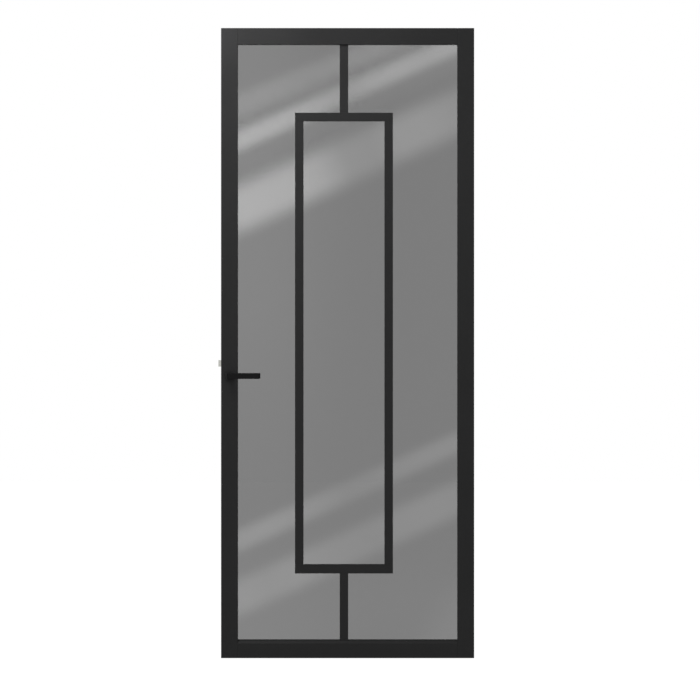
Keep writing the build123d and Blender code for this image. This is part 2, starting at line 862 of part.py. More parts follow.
with BuildPart() as front_rose_cap:
    with BuildSketch(facing(y_front, spindle_x, spindle_z)):
        Circle(rose_radius)
    extrude(amount=rose_thickness)
    fillet(front_rose_cap.faces().sort_by(Axis.Y)[0].edges(), rose_edge_radius)
    with BuildSketch(facing(y_front, spindle_x, spindle_z)):
        Circle(rose_radius - rose_wall)
    extrude(amount=rose_thickness - rose_wall, mode=Mode.SUBTRACT)
    with BuildSketch(facing(y_front, spindle_x, spindle_z)):
        Circle(neck_radius + neck_gap)
    extrude(amount=rose_thickness, mode=Mode.SUBTRACT)
write(front_rose_cap, "front_rose_cap")

with BuildPart() as rear_rose_base:
    mirror(front_rose_base.part, about=leaf_middle)
write(rear_rose_base, "rear_rose_base")

with BuildPart() as rear_rose_cap:
    mirror(front_rose_cap.part, about=leaf_middle)
write(rear_rose_cap, "rear_rose_cap")

rose_screw = countersunk_screw(rose_shank_radius, rose_head_radius, rose_screw_length, True)
with BuildPart() as rose_screws:
    with Locations(*rose_screw_planes):
        add(rose_screw)
write(rose_screws, "rose_screws")


# Hinges: each plate is rolled into knuckles round the pin and cut back beside the other plate's knuckles
def hinge_plate(node, level, outer_face, inward, knuckles, hole_planes):
    """One plate of a hinge; inward points from outer_face to the other plate, knuckles hold heights."""
    web_x = outer_face + inward * hinge_plate_thickness / 2
    with BuildPart() as plate:
        outline = hinge_plate_sketch(outer_face, level, 0)
        extrude(outline, amount=inward * hinge_plate_thickness)
        with BuildSketch(Plane.XY.offset(level - hinge_height / 2)):
            with Locations((axis_x, axis_y)):
                Circle(knuckle_radius + swing_gap)
        extrude(amount=hinge_height, mode=Mode.SUBTRACT)
        for start in knuckles:
            with BuildSketch(Plane.XY.offset(level + start)):
                with Locations((axis_x, axis_y)):
                    Circle(knuckle_radius)
                with Locations((web_x, (y_back + axis_y) / 2)):
                    Rectangle(hinge_plate_thickness, axis_y - y_back)
            extrude(amount=knuckle_length)
        with BuildSketch(Plane.XY.offset(level - hinge_height / 2)):
            with Locations((axis_x, axis_y)):
                Circle(hinge_pin_radius + running_gap)
        extrude(amount=hinge_height, mode=Mode.SUBTRACT)
        with Locations(*hole_planes):
            CounterSinkHole(
                hinge_shank_radius + hole_gap,
                hinge_head_radius + hole_gap,
                depth=hinge_plate_thickness,
                counter_sink_angle=countersink_angle,
            )
    write(plate, node)


for name, level in hinge_levels.items():
    leaf_holes = [
        Plane(origin=(leaf_plate_face, y, level + z), z_dir=(1, 0, 0))
        for y, z in hinge_hole_places(leaf_hole_spacing_z)
    ]
    jamb_holes = [
        Plane(origin=(-hinge_plate_thickness, y, level + z), z_dir=(-1, 0, 0))
        for y, z in hinge_hole_places(jamb_hole_spacing_z)
    ]
    hinge_plate(f"{name}_hinge_leaf_plate", level, leaf_plate_seat, 1, leaf_knuckles, leaf_holes)
    hinge_plate(f"{name}_hinge_jamb_plate", level, 0, -1, jamb_knuckles, jamb_holes)
    with BuildPart() as hinge_pin:
        with BuildSketch(Plane.XY.offset(level - hinge_height / 2)):
            with Locations((axis_x, axis_y)):
                Circle(hinge_pin_radius)
        extrude(amount=hinge_height)
        for end, way in ((level + hinge_height / 2, 1), (level - hinge_height / 2, -1)):
            with BuildSketch(Plane.XY.offset(end)):
                with Locations((axis_x, axis_y)):
                    Circle(pin_head_radius)
            extrude(amount=way * pin_head_height)
        tips = (hinge_pin.faces().sort_by(Axis.Z)[0], hinge_pin.faces().sort_by(Axis.Z)[-1])
        fillet([edge for tip in tips for edge in tip.edges()], pin_head_round)
    write(hinge_pin, f"{name}_hinge_pin")

bearing_starts = [
    level + start
    for level in hinge_levels.values()
    for start in (
        jamb_knuckles[0] + knuckle_length + axial_gap,
        leaf_knuckles[1] + knuckle_length + axial_gap,
    )
]
with BuildPart() as hinge_bearings:
    for start in bearing_starts:
        with BuildSketch(Plane.XY.offset(start)):
            with Locations((axis_x, axis_y)):
                Circle(knuckle_radius)
                Circle(hinge_pin_radius + running_gap, mode=Mode.SUBTRACT)
    extrude(amount=bearing_thickness)
write(hinge_bearings, "hinge_bearings")

hinge_screw = countersunk_screw(hinge_shank_radius, hinge_head_radius, hinge_screw_length, True)
with BuildPart() as hinge_screws:
    with Locations(*leaf_screw_planes):
        add(hinge_screw)
write(hinge_screws, "hinge_screws")
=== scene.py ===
"""Looks of a glass door: satin black frame, tinted pane under black bars, lever latch and hinges."""

import logging
import math
from dataclasses import dataclass, replace
from enum import Enum

import bpy
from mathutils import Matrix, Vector


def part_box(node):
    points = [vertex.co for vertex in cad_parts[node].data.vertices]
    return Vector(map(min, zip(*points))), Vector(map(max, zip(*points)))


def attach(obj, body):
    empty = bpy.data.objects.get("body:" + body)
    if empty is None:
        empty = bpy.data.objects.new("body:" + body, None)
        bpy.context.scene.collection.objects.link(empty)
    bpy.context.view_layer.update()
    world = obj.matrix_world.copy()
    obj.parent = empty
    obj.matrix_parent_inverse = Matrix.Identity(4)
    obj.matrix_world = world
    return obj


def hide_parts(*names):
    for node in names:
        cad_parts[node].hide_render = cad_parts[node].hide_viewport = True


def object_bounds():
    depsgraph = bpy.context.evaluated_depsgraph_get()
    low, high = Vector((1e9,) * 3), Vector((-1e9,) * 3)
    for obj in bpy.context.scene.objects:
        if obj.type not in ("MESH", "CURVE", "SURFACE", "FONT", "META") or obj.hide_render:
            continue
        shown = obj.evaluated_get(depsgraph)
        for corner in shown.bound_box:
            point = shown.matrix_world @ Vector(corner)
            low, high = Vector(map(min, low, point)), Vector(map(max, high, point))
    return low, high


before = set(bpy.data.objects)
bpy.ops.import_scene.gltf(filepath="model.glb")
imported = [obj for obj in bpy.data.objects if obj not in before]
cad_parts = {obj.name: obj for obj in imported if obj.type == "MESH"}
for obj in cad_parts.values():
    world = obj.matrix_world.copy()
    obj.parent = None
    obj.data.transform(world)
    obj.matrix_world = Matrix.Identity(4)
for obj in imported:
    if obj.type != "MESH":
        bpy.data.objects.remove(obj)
cad_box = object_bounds()

log = logging.getLogger("glass_door")

Names = tuple[str, ...]
Colour = tuple[float, float, float]
Place = tuple[float, float, float]
Range = tuple[float, float]
Socket = bpy.types.NodeSocket
Amount = float | Socket

WHITE = 1.0
LEAF_MIDDLE: Place = (-0.47, 0.0, 0.93)
# The Random Value node has sockets for each kind of number; these are those of its float kind.
RANDOM_FLOAT_MAX = 3
RANDOM_FLOAT = 1


class Grain(Enum):
    """Run of a member's timber, as the stretch of its fibres along the three axes."""

    UPRIGHT = (60.0, 60.0, 2.2)
    LEVEL = (2.2, 60.0, 60.0)


def grey(value: float) -> tuple[float, float, float, float]:
    """Opaque neutral colour of one linear value."""
    return (value, value, value, 1.0)


def add_object(name: str, data: bpy.types.ID) -> bpy.types.Object:
    """Put a new object in the scene.

    Args:
        name: Name of the object.
        data: Its mesh, lamp or camera.

    Returns:
        The object.
    """
    piece = bpy.data.objects.new(name, data)
    bpy.context.scene.collection.objects.link(piece)
    return piece


def add_sheet(
    name: str, corners: list[Place] | list[Vector], material: bpy.types.Material
) -> bpy.types.Object:
    """Put a flat four-cornered sheet in the scene.

    Args:
        name: Name of the object and of its mesh.
        corners: Its corners in order.
        material: Its material.

    Returns:
        The object.
    """
    mesh = bpy.data.meshes.new(name)
    mesh.from_pydata(corners, [], [(0, 1, 2, 3)])
    mesh.materials.append(material)
    return add_object(name, mesh)


@dataclass(frozen=True)
class Texture:
    """Noise on a piece's own coordinates.

    Attributes:
        scale: Features per metre.
        detail: Octaves.
        stretch: Factors along the three axes.
        strength: Strength of its relief, where it has one.
        height: Height of that relief in metres.
    """

    scale: float
    detail: float
    stretch: Place = (1.0, 1.0, 1.0)
    strength: float = 0.0
    height: float = 0.0


class NodeSketch:
    """Node tree with short calls that add and join its nodes."""

    def __init__(self, tree: bpy.types.NodeTree) -> None:
        """Start on a tree and clear it.

        Args:
            tree: Tree of a material, of the world or of a modifier.
        """
        self.tree = tree
        self.tree.nodes.clear()

    def add(self, kind: str, **settings: object) -> bpy.types.Node:
        """Add a node.

        Args:
            kind: Blender's type name of the node.
            **settings: Properties to set on it.

        Returns:
            The new node.
        """
        node = self.tree.nodes.new(kind)
        for key, value in settings.items():
            setattr(node, key, value)
        return node

    def link(self, source: Socket, target: Socket) -> None:
        """Join two sockets."""
        self.tree.links.new(source, target)

    def plain(self, kind: str, value: float) -> Socket:
        """Add a shader of one grey.

        Args:
            kind: Blender's type name of the shader.
            value: Its linear grey.

        Returns:
            The shader.
        """
        node = self.add(kind)
        node.inputs["Color"].default_value = grey(value)
        return node.outputs[0]

    def added(self, first: Socket, second: Socket) -> Socket:
        """Add two shaders up.

        Args:
            first: First shader.
            second: Second shader.

        Returns:
            Their sum.
        """
        node = self.add("ShaderNodeAddShader")
        self.link(first, node.inputs[0])
        self.link(second, node.inputs[1])
        return node.outputs[0]

    def where_seen(self, shown: Socket, unseen: Socket) -> Socket:
        """Show one shader to the rays that see the surround, and another to those by which it gives light.

        Args:
            shown: Shader for camera, glossy and transmission rays.
            unseen: Shader for all other rays.

        Returns:
            The mixed shader.
        """
        path = self.add("ShaderNodeLightPath")
        seen = path.outputs["Is Camera Ray"]
        for ray in ("Is Glossy Ray", "Is Transmission Ray"):
            either = self.add("ShaderNodeMath", operation="MAXIMUM")
            self.link(seen, either.inputs[0])
            self.link(path.outputs[ray], either.inputs[1])
            seen = either.outputs[0]
        mix = self.add("ShaderNodeMixShader")
        self.link(seen, mix.inputs[0])
        self.link(unseen, mix.inputs[1])
        self.link(shown, mix.inputs[2])
        return mix.outputs[0]


class Shading(NodeSketch):
    """Node tree of one material, with the nodes that the finishes share."""

    # Nearly all of a noise lies between these values.
    noise_span: Range = (0.3, 0.7)

    def __init__(self, name: str) -> None:
        """Start an empty material.

        Args:
            name: Name of the material.
        """
        self.material = bpy.data.materials.new(name)
        self.material.use_nodes = True
        super().__init__(self.material.node_tree)
        self.out = self.add("ShaderNodeOutputMaterial")
        self.noises: dict[Texture, Socket] = {}

    def show(self, shader: Socket) -> None:
        """Make a shader the material's surface."""
        self.link(shader, self.out.inputs["Surface"])

    def skin(
        self, colour: Colour, roughness: float, metallic: float = 0.0, gloss: float = 0.5
    ) -> bpy.types.Node:
        """Add the surface shader and show it.

        Args:
            colour: Linear base colour.
            roughness: Base roughness.
            metallic: Share of metal.
            gloss: Specular level.

        Returns:
            The principled shader node.
        """
        shader = self.add("ShaderNodeBsdfPrincipled")
        shader.inputs["Base Color"].default_value = (*colour, 1.0)
        shader.inputs["Roughness"].default_value = roughness
        shader.inputs["Metallic"].default_value = metallic
        shader.inputs["Specular IOR Level"].default_value = gloss
        self.show(shader.outputs["BSDF"])
        return shader

    def noise(self, texture: Texture) -> Socket:
        """Add a texture's noise, once for each texture.

        Args:
            texture: The texture.

        Returns:
            The noise's value socket.
        """
        if texture not in self.noises:
            coords = self.add("ShaderNodeTexCoord")
            mapping = self.add("ShaderNodeMapping")
            mapping.inputs["Scale"].default_value = texture.stretch
            noise = self.add("ShaderNodeTexNoise")
            noise.inputs["Scale"].default_value = texture.scale
            noise.inputs["Detail"].default_value = texture.detail
            self.link(coords.outputs["Object"], mapping.inputs["Vector"])
            self.link(mapping.outputs["Vector"], noise.inputs["Vector"])
            self.noises[texture] = noise.outputs["Fac"]
        return self.noises[texture]

    def spread(self, texture: Texture, ends: Range) -> Socket:
        """Map the middle of a noise to a range.

        Args:
            texture: Texture of the noise.
            ends: Values at the noise's low and high end.

        Returns:
            The mapped socket.
        """
        node = self.add("ShaderNodeMapRange")
        labels = ("From Min", "From Max", "To Min", "To Max")
        for label, value in zip(labels, (*self.noise_span, *ends)):
            node.inputs[label].default_value = value
        self.link(self.noise(texture), node.inputs["Value"])
        return node.outputs["Result"]

    def tint(self, texture: Texture, dark: Colour, light: Colour) -> Socket:
        """Blend two colours by a noise.

        Args:
            texture: Texture of the noise.
            dark: Colour at the noise's low end.
            light: Colour at its high end.

        Returns:
            The colour socket.
        """
        ramp = self.add("ShaderNodeValToRGB")
        for stop, position, colour in zip(ramp.color_ramp.elements, self.noise_span, (dark, light)):
            stop.position = position
            stop.color = (*colour, 1.0)
        self.link(self.noise(texture), ramp.inputs["Fac"])
        return ramp.outputs["Color"]

    def bump(self, shader: bpy.types.Node, *layers: Texture) -> None:
        """Chain the reliefs of textures into a shader's normal.

        Args:
            shader: Surface shader.
            *layers: Textures that have a relief.
        """
        normal = None
        for layer in layers:
            node = self.add("ShaderNodeBump")
            node.inputs["Strength"].default_value = layer.strength
            node.inputs["Distance"].default_value = layer.height
            self.link(self.noise(layer), node.inputs["Height"])
            if normal is not None:
                self.link(normal, node.inputs["Normal"])
            normal = node.outputs["Normal"]
        self.link(normal, shader.inputs["Normal"])


@dataclass(frozen=True)
class Finish:
    """Surface whose colour, roughness and relief follow textures of its own."""

    name: str
    dark: Colour
    light: Colour
    roughness: Range
    gloss: float = 0.5
    metallic: float = 0.0

    def _cover(self, shade: Texture, wear: Texture, *relief: Texture) -> bpy.types.Material:
        """Build the material from its textures.

        Args:
            shade: Texture that leads from the dark to the light colour.
            wear: Texture that leads from the low to the high roughness.
            *relief: Textures that raise the surface.

        Returns:
            The material.
        """
        shading = Shading(self.name)
        shader = shading.skin(self.dark, self.roughness[0], self.metallic, self.gloss)
        shading.link(shading.tint(shade, self.dark, self.light), shader.inputs["Base Color"])
        shading.link(shading.spread(wear, self.roughness), shader.inputs["Roughness"])
        shading.bump(shader, *relief)
        return shading.material


@dataclass(frozen=True)
class SatinPaint(Finish):
    """Sprayed satin paint over close-grained timber."""

    dark: Colour = (0.0056, 0.0056, 0.0057)
    light: Colour = (0.0070, 0.0070, 0.0071)
    roughness: Range = (0.34, 0.44)
    gloss: float = 0.12
    grain: Grain = Grain.UPRIGHT
    fibres: Texture = Texture(9.0, 5.0, strength=0.10, height=0.0006)
    film: Texture = Texture(420.0, 2.0, strength=0.06, height=0.0003)
    cloud: Texture = Texture(3.5, 2.0)

    def material(self) -> bpy.types.Material:
        """Build the paint's material."""
        fibres = replace(self.fibres, stretch=self.grain.value)
        return self._cover(self.cloud, fibres, fibres, self.film)


@dataclass(frozen=True)
class PowderCoat(Finish):
    """Fine-textured powder coat on metal."""

    dark: Colour = (0.0056, 0.0056, 0.0057)
    light: Colour = (0.0070, 0.0070, 0.0071)
    roughness: Range = (0.36, 0.46)
    gloss: float = 0.12
    speckle: Texture = Texture(900.0, 2.0, strength=0.12, height=0.0002)
    cloud: Texture = Texture(6.0, 3.0)

    def material(self) -> bpy.types.Material:
        """Build the coat's material."""
        return self._cover(self.cloud, self.cloud, self.speckle)


@dataclass(frozen=True)
class HandleCoat(PowderCoat):
    """Finer and duller powder coat of the levers and roses."""

    roughness: Range = (0.42, 0.50)
    speckle: Texture = Texture(1500.0, 2.0, strength=0.12, height=0.0002)


@dataclass(frozen=True)
class BrushedMetal(Finish):
    """Plated metal with fine brush lines along one direction."""

    roughness: Range = (0.24, 0.38)
    metallic: float = 1.0
    brush: Texture = Texture(1.0, 2.0, (900.0, 900.0, 24.0), strength=0.08, height=0.0001)
    cloud: Texture = Texture(35.0, 3.0)

    def material(self) -> bpy.types.Material:
        """Build the metal's material."""
        return self._cover(self.cloud, self.brush, self.brush)


@dataclass(frozen=True)
class SoftRubber(Finish):
    """Black rubber or closed-cell tape with a dull, pored skin."""

    dark: Colour = (0.006, 0.006, 0.006)
    light: Colour = (0.012, 0.012, 0.012)
    roughness: Range = (0.62, 0.80)
    gloss: float = 0.25
    pores: Texture = Texture(1400.0, 3.0, strength=0.2, height=0.0002)
    bloom: Texture = Texture(40.0, 2.0)

    def material(self) -> bpy.types.Material:
        """Build the rubber's material."""
        return self._cover(self.bloom, self.bloom, self.pores)


@dataclass(frozen=True)
class BareTimber(Finish):
    """Unfinished beech with its flecked grain."""

    dark: Colour = (0.42, 0.26, 0.14)
    light: Colour = (0.62, 0.43, 0.26)
    roughness: Range = (0.5, 0.7)
    gloss: float = 0.3
    fibres: Texture = Texture(14.0, 4.0, Grain.LEVEL.value, strength=0.25, height=0.0004)

    def material(self) -> bpy.types.Material:
        """Build the timber's material."""
        return self._cover(self.fibres, self.fibres, self.fibres)


@dataclass(frozen=True)
class TintedGlass:
    """Grey body-tinted float glass with the faint waves of its making."""

    name: str
    colour: Colour = (0.17, 0.17, 0.17)
    roughness: Range = (0.0, 0.004)
    index: float = 1.5
    film: Texture = Texture(2.6, 4.0, (1.0, 1.0, 0.6))
    waves: Texture = Texture(3.0, 1.0, (1.0, 1.0, 0.35), strength=0.02, height=0.0004)

    def material(self) -> bpy.types.Material:
        """Build the glass's material.

        Returns:
            The material.
        """
        shading = Shading(self.name)
        shader = shading.skin(self.colour, self.roughness[0])
        shader.inputs["Transmission Weight"].default_value = 1.0
        shader.inputs["IOR"].default_value = self.index
        shading.link(shading.spread(self.film, self.roughness), shader.inputs["Roughness"])
        shading.bump(shader, self.waves)
        return shading.material


def cover(nodes: Names, material: bpy.types.Material) -> None:
    """Give nodes of the frame one material.

    Args:
        nodes: Names of the nodes.
        material: Material that takes the place of their plain one.
    """
    for name in nodes:
        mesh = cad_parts[name].data
        mesh.materials.clear()
        mesh.materials.append(material)
    log.info("dressed %s: %s", material.name, ", ".join(nodes))


@dataclass
class LeafFrame:
    """Stiles, rails and beads of the leaf, with the dowels and pins that hold them."""

    stiles: Names = ("lock_stile", "hinge_stile", "bead_left", "bead_right")
    rails: Names = ("top_rail", "bottom_rail", "bead_top", "bead_bottom")
    dowels: Names = ("corner_dowels",)
    pins: Names = ("bead_pins",)

    def dress(self) -> None:
        """Paint the members along their grain and finish what holds them."""
        cover(self.stiles, SatinPaint("satin_black_upright", grain=Grain.UPRIGHT).material())
        cover(self.rails, SatinPaint("satin_black_level", grain=Grain.LEVEL).material())
        cover(self.dowels, BareTimber("bare_beech").material())
        cover(self.pins, PowderCoat("painted_pin").material())


@dataclass
class GlazedPane:
    """Pane, its tape and blocks, and the bars on both of its faces."""

    pane: Names = ("glass_pane",)
    tapes: Names = ("front_glazing_tape", "rear_glazing_tape", "front_bar_tape", "rear_bar_tape")
    blocks: Names = ("setting_blocks",)
    faces: Names = ("front", "rear")
    bars: Names = ("rect_top", "rect_bottom", "rect_left", "rect_right", "upright_above", "upright_below")
    block_rubber: SoftRubber = SoftRubber("setting_rubber", (0.03, 0.03, 0.03), (0.05, 0.05, 0.05))

    def dress(self) -> None:
        """Finish glass, tape, blocks and bars."""
        cover(self.pane, TintedGlass("tinted_glass").material())
        cover(self.tapes, SoftRubber("glazing_tape").material())
        cover(self.blocks, self.block_rubber.material())
        bars = tuple(f"{face}_bar_{bar}" for face in self.faces for bar in self.bars)
        cover(bars, PowderCoat("bar_coat").material())


class ShapeSketch(NodeSketch):
    """Geometry node tree, with short calls for sums and turned shapes."""

    def feed(self, value: Amount, target: Socket) -> None:
        """Give a socket a number, or join it to another socket.

        Args:
            value: Number or socket.
            target: Socket that gets it.
        """
        if isinstance(value, Socket):
            self.link(value, target)
        else:
            target.default_value = value

    def reckon(self, operation: str, first: Amount, second: Amount) -> Socket:
        """Add a sum of two values.

        Args:
            operation: Blender's name of the sum.
            first: First number or socket.
            second: Second number or socket.

        Returns:
            Socket of the result.
        """
        node = self.add("ShaderNodeMath", operation=operation)
        self.feed(first, node.inputs[0])
        self.feed(second, node.inputs[1])
        return node.outputs[0]

    def cone(self, sides: int, top: Amount, bottom: Amount, depth: Amount, start: Amount) -> Socket:
        """Add a cone that lies under the origin.

        Args:
            sides: Number of its sides.
            top: Radius of its upper face.
            bottom: Radius of its lower face.
            depth: Height from face to face.
            start: Depth of its upper face under the origin.

        Returns:
            Mesh of the cone.
        """
        node = self.add("GeometryNodeMeshCone")
        node.inputs["Vertices"].default_value = sides
        for label, value in (("Radius Top", top), ("Radius Bottom", bottom), ("Depth", depth)):
            self.feed(value, node.inputs[label])
        shift = self.add("ShaderNodeCombineXYZ")
        foot = self.reckon("ADD", depth, start)
        self.link(self.reckon("MULTIPLY", foot, -1.0), shift.inputs["Z"])
        move = self.add("GeometryNodeTransform")
        self.link(node.outputs["Mesh"], move.inputs["Geometry"])
        self.link(shift.outputs[0], move.inputs["Translation"])
        return move.outputs[0]


@dataclass
class ScrewRow:
    """Countersunk cross-head screws of one size, laid out by a node tree.

    Attributes:
        name: Name of the piece.
        node: Node of the frame that the piece stands for.
        slot: Slot of the frame's materials that it belongs to; not used.
        outward: Direction that the heads face.
        points: Middle of each head's face.
        head_radius: Radius of a head.
        shank_radius: Radius of a shank.
        length: Length of a screw.
        seed: Seed of the chance turn of each screw.
        sides: Number of sides of a turned face.
        rim: Width and height of the bevel round a head.
        taper: Radius of a shank's tip, as a share of the shank's.
        cross: Length, width and height of the blocks that cut the cross, as shares of the head's radius.
        middle: Upper radius, lower radius and depth of the cross's middle, as the same shares.
    """

    name: str
    node: str
    slot: str
    outward: Place
    points: list[Place]
    head_radius: float
    shank_radius: float
    length: float
    seed: int
    sides: int = 28
    rim: float = 0.0002
    taper: float = 0.9
    cross: Place = (1.15, 0.24, 0.4)
    middle: Place = (0.3, 0.12, 0.45)

    def _body(self, sketch: ShapeSketch, sizes: bpy.types.Node) -> Socket:
        """Add the head and shank, before the cross is cut.

        Args:
            sketch: Tree that gets the nodes.
            sizes: The tree's input node.

        Returns:
            Mesh of the body, with the head's face at the origin.
        """
        head = sizes.outputs["Head Radius"]
        shank = sizes.outputs["Shank Radius"]
        flare = sketch.reckon("SUBTRACT", head, shank)
        face = sketch.reckon("SUBTRACT", head, self.rim)
        tip = sketch.reckon("MULTIPLY", shank, self.taper)
        rest = sketch.reckon("SUBTRACT", sizes.outputs["Length"], flare)
        bevel = (face, head, self.rim, 0.0)
        countersink = (head, shank, flare, self.rim)
        stem = (shank, tip, rest, flare)
        body = sketch.add("GeometryNodeMeshBoolean", operation="UNION", solver="EXACT")
        for measures in (bevel, countersink, stem):
            sketch.link(sketch.cone(self.sides, *measures), body.inputs["Mesh"])
        return body.outputs["Mesh"]

    def _screw(self, sketch: ShapeSketch, sizes: bpy.types.Node) -> Socket:
        """Add one whole screw.

        Args:
            sketch: Tree that gets the nodes.
            sizes: The tree's input node.

        Returns:
            Mesh of the screw.
        """
        head = sizes.outputs["Head Radius"]
        cut = sketch.add("GeometryNodeMeshBoolean", operation="DIFFERENCE", solver="EXACT")
        sketch.link(self._body(sketch, sizes), cut.inputs["Mesh 1"])
        arm, width, height = (sketch.reckon("MULTIPLY", head, share) for share in self.cross)
        for measures in ((arm, width, height), (width, arm, height)):
            size = sketch.add("ShaderNodeCombineXYZ")
            for value, target in zip(measures, size.inputs):
                sketch.link(value, target)
            block = sketch.add("GeometryNodeMeshCube")
            sketch.link(size.outputs[0], block.inputs["Size"])
            sketch.link(block.outputs["Mesh"], cut.inputs["Mesh 2"])
        top, tip, depth = (sketch.reckon("MULTIPLY", head, share) for share in self.middle)
        sketch.link(sketch.cone(self.sides, top, tip, depth, 0.0), cut.inputs["Mesh 2"])
        return cut.outputs["Mesh"]

    def _turn(self, sketch: ShapeSketch, sizes: bpy.types.Node) -> Socket:
        """Add the turn of each screw: outward, then by chance about its own axis.

        Args:
            sketch: Tree that gets the nodes.
            sizes: The tree's input node.

        Returns:
            Rotation of a screw.
        """
        align = sketch.add("FunctionNodeAlignRotationToVector", axis="Z")
        sketch.link(sizes.outputs["Outward"], align.inputs["Vector"])
        chance = sketch.add("FunctionNodeRandomValue", data_type="FLOAT")
        chance.inputs[RANDOM_FLOAT_MAX].default_value = math.pi
        sketch.link(sizes.outputs["Seed"], chance.inputs["Seed"])
        spin = sketch.add("FunctionNodeAxisAngleToRotation")
        sketch.link(chance.outputs[RANDOM_FLOAT], spin.inputs["Angle"])
        both = sketch.add("FunctionNodeRotateRotation", rotation_space="LOCAL")
        sketch.link(align.outputs[0], both.inputs["Rotation"])
        sketch.link(spin.outputs[0], both.inputs["Rotate By"])
        return both.outputs[0]

    def _tree(self, material: bpy.types.Material) -> bpy.types.NodeTree:
        """Build the node tree that makes one screw and sets it on each point.

        Args:
            material: Finish of the screws.

        Returns:
            The geometry node tree.
        """
        sketch = ShapeSketch(bpy.data.node_groups.new(self.name, "GeometryNodeTree"))
        face = sketch.tree.interface
        face.new_socket("Geometry", in_out="INPUT", socket_type="NodeSocketGeometry")
        for label in ("Head Radius", "Shank Radius", "Length"):
            face.new_socket(label, in_out="INPUT", socket_type="NodeSocketFloat")
        face.new_socket("Outward", in_out="INPUT", socket_type="NodeSocketVector")
        face.new_socket("Seed", in_out="INPUT", socket_type="NodeSocketInt")
        face.new_socket("Geometry", in_out="OUTPUT", socket_type="NodeSocketGeometry")
        sizes = sketch.add("NodeGroupInput")
        place = sketch.add("GeometryNodeInstanceOnPoints")
        sketch.link(sizes.outputs["Geometry"], place.inputs["Points"])
        sketch.link(self._screw(sketch, sizes), place.inputs["Instance"])
        sketch.link(self._turn(sketch, sizes), place.inputs["Rotation"])
        realise = sketch.add("GeometryNodeRealizeInstances")
        sketch.link(place.outputs[0], realise.inputs[0])
        finish = sketch.add("GeometryNodeSetMaterial")
        finish.inputs["Material"].default_value = material
        sketch.link(realise.outputs[0], finish.inputs["Geometry"])
        sketch.link(finish.outputs[0], sketch.add("NodeGroupOutput").inputs[0])
        return sketch.tree

    def build(self, material: bpy.types.Material) -> None:
        """Make the screws, and let them stand for the plain ones of the frame.

        Args:
            material: Finish of the screws.
        """
        seats = bpy.data.meshes.new(f"{self.name}_seats")
        seats.from_pydata(self.points, [], [])
        piece = add_object(self.name, seats)
        modifier = piece.modifiers.new("layout", "NODES")
        modifier.node_group = self._tree(material)
        values = {
            "Head Radius": self.head_radius,
            "Shank Radius": self.shank_radius,
            "Length": self.length,
            "Outward": self.outward,
            "Seed": self.seed,
        }
        for item in modifier.node_group.interface.items_tree:
            if item.in_out == "INPUT" and item.name in values:
                modifier[item.identifier] = values[item.name]
        bpy.context.view_layer.update()
        evaluated = piece.evaluated_get(bpy.context.evaluated_depsgraph_get())
        mesh = bpy.data.meshes.new_from_object(evaluated)
        mesh.name = self.name
        piece.modifiers.clear()
        piece.data = mesh
        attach(piece, "leaf")
        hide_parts(self.node)
        log.info("made %s: %d faces", self.name, len(mesh.polygons))


@dataclass
class LatchLock:
    """Latch lock in the edge of the lock stile."""

    shown: Names = ("latch_bolt", "forend")
    inner: Names = ("lock_case", "lock_cover", "cover_screws", "follower", "latch_spring", "return_spring")
    nickel: BrushedMetal = BrushedMetal("satin_nickel", (0.44, 0.44, 0.41), (0.52, 0.52, 0.49))
    zinc: BrushedMetal = BrushedMetal("zinc_plate", (0.42, 0.43, 0.44), (0.56, 0.57, 0.58))
    screw_inset: float = 0.011
    head_radius: float = 0.0038
    shank_radius: float = 0.002
    screw_length: float = 0.030
    screw_seed: int = 3

    def build(self, nickel: bpy.types.Material) -> None:
        """Make the screws of the forend.

        Args:
            nickel: Finish of the screws.
        """
        low, high = (Vector(corner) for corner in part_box("forend"))
        middle_y = (low.y + high.y) / 2
        heights = (low.z + self.screw_inset, high.z - self.screw_inset)
        ScrewRow(
            name="forend_cross_screws",
            node="forend_screws",
            slot="nickel",
            outward=(-1.0, 0.0, 0.0),
            points=[(low.x, middle_y, height) for height in heights],
            head_radius=self.head_radius,
            shank_radius=self.shank_radius,
            length=self.screw_length,
            seed=self.screw_seed,
        ).build(nickel)

    def dress(self, nickel: bpy.types.Material) -> None:
        """Finish the lock's pieces.

        Args:
            nickel: Finish of what shows at the edge of the leaf.
        """
        cover(self.shown, nickel)
        cover(self.inner, self.zinc.material())


@dataclass
class LeverHandle:
    """Levers and roses on both faces, with the spindle and screws inside."""

    levers: Names = ("front_lever", "rear_lever")
    roses: Names = ("front_rose_cap", "rear_rose_cap")
    inner: Names = ("spindle", "grub_screws", "front_rose_base", "rear_rose_base", "rose_screws")
    lever_coat: HandleCoat = HandleCoat(
        "lever_coat", (0.0026, 0.0026, 0.0027), (0.0034, 0.0034, 0.0035), gloss=0.06
    )
    # The rose coat is lighter than the lever coat, close to the stile's paint: painted light that offsets
    # the rose's own shade so that it blends with the stile.
    rose_coat_with_painted_light: HandleCoat = HandleCoat(
        "rose_coat_with_painted_light", (0.0050, 0.0050, 0.0051), (0.0062, 0.0062, 0.0063), gloss=0.10
    )
    steel: BrushedMetal = BrushedMetal("handle_steel", (0.42, 0.42, 0.43), (0.54, 0.54, 0.55))

    def dress(self) -> None:
        """Coat what shows and plate what is inside."""
        cover(self.levers, self.lever_coat.material())
        cover(self.roses, self.rose_coat_with_painted_light.material())
        cover(self.inner, self.steel.material())


